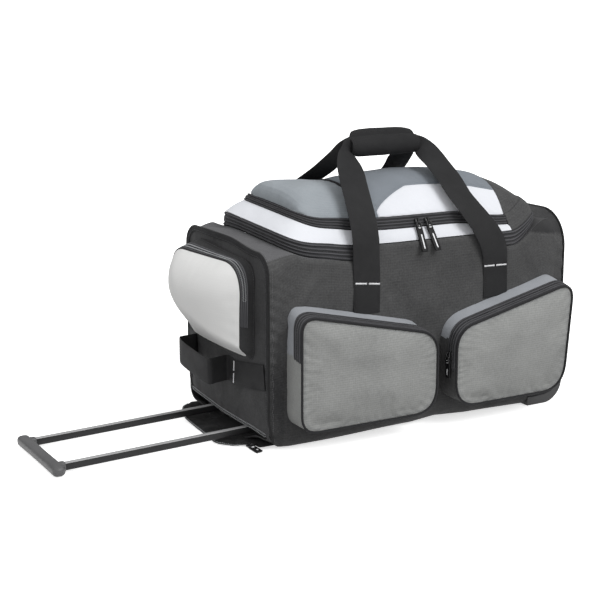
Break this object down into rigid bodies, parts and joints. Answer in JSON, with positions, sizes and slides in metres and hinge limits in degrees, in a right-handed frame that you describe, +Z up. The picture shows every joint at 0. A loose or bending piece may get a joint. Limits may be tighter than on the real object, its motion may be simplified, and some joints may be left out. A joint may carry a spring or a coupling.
{
  "type": "wheeled duffel bag",
  "caption": "Soft wheeled duffel bag with a zipped lid, front and end pockets, webbing carry handle, end grab strap, telescopic pull handle and wheels at one end.",
  "frame": {"origin": "middle of the bag's flat base, on the floor it rests on", "axes": "+X from the pull handle to the wheels, -Y towards the front with the pockets, +Z up"},
  "size_m": [1.0916, 0.4224, 0.5669],
  "materials": {
    "charcoal_cloth": "matte weave",
    "grey_ripstop": "fine ripstop",
    "white_cloth": "smooth",
    "pale_cloth": "smooth",
    "gusset_cloth": "smooth",
    "black_cloth": "matte",
    "webbing": "ribbed webbing",
    "zip_pull": "satin",
    "tube": "gloss",
    "moulded_grip": "satin",
    "chassis_plastic": "satin",
    "tyre": "matte",
    "steel": "brushed"
  },
  "bodies": {
    "bag": {"body_panel": "charcoal_cloth", "wing_side": "charcoal_cloth", "wing_top": "charcoal_cloth", "top_shelf_left": "charcoal_cloth", "top_shelf_right": "charcoal_cloth", "end_panel_left": "charcoal_cloth", "end_panel_right": "charcoal_cloth", "end_pocket_gusset": "charcoal_cloth", "crown_left": "grey_ripstop", "crown_middle": "grey_ripstop", "left_pocket_face": "grey_ripstop", "right_pocket_face": "grey_ripstop", "lid_band": "white_cloth", "crown_front": "white_cloth", "end_pocket_face": "pale_cloth", "left_pocket_gusset": "gusset_cloth", "right_pocket_gusset": "gusset_cloth", "lower_zip_left": "black_cloth", "lower_zip_right": "black_cloth", "lid_zip": "black_cloth", "crown_piping": "black_cloth", "end_piping_left": "black_cloth", "end_piping_right": "black_cloth", "left_pocket_piping": "black_cloth", "right_pocket_piping": "black_cloth", "left_pocket_zip": "black_cloth", "right_pocket_zip": "black_cloth", "end_pocket_zip": "black_cloth", "bay_flap": "black_cloth", "front_handle": "webbing", "back_handle": "webbing", "grip_wrap": "webbing", "grab_handle": "webbing", "lid_pull_1": "zip_pull", "lid_pull_2": "zip_pull", "left_pocket_pull": "zip_pull", "right_pocket_pull": "zip_pull", "flap_pull": "zip_pull", "sleeve_near": "tube", "sleeve_far": "tube", "chassis": "chassis_plastic", "axle_near": "steel", "axle_far": "steel"},
    "pull_handle": {"rod_near": "tube", "rod_far": "tube", "pull_grip": "moulded_grip"},
    "wheel_near": {"wheel_near": "tyre"},
    "wheel_far": {"wheel_far": "tyre"}
  },
  "joints": [
    {"name": "pull_handle_slide", "type": "slide", "parent": "bag", "child": "pull_handle", "axis": [0.9996, 0, 0.027], "range_m": [0, 0.36]},
    {"name": "wheel_near_spin", "type": "hinge", "parent": "bag", "child": "wheel_near", "pos_m": [0.31, -0.152, 0.0316], "axis": [0, 1, 0], "continuous": true},
    {"name": "wheel_far_spin", "type": "hinge", "parent": "bag", "child": "wheel_far", "pos_m": [0.31, 0.152, 0.0316], "axis": [0, 1, 0], "continuous": true}
  ]
}
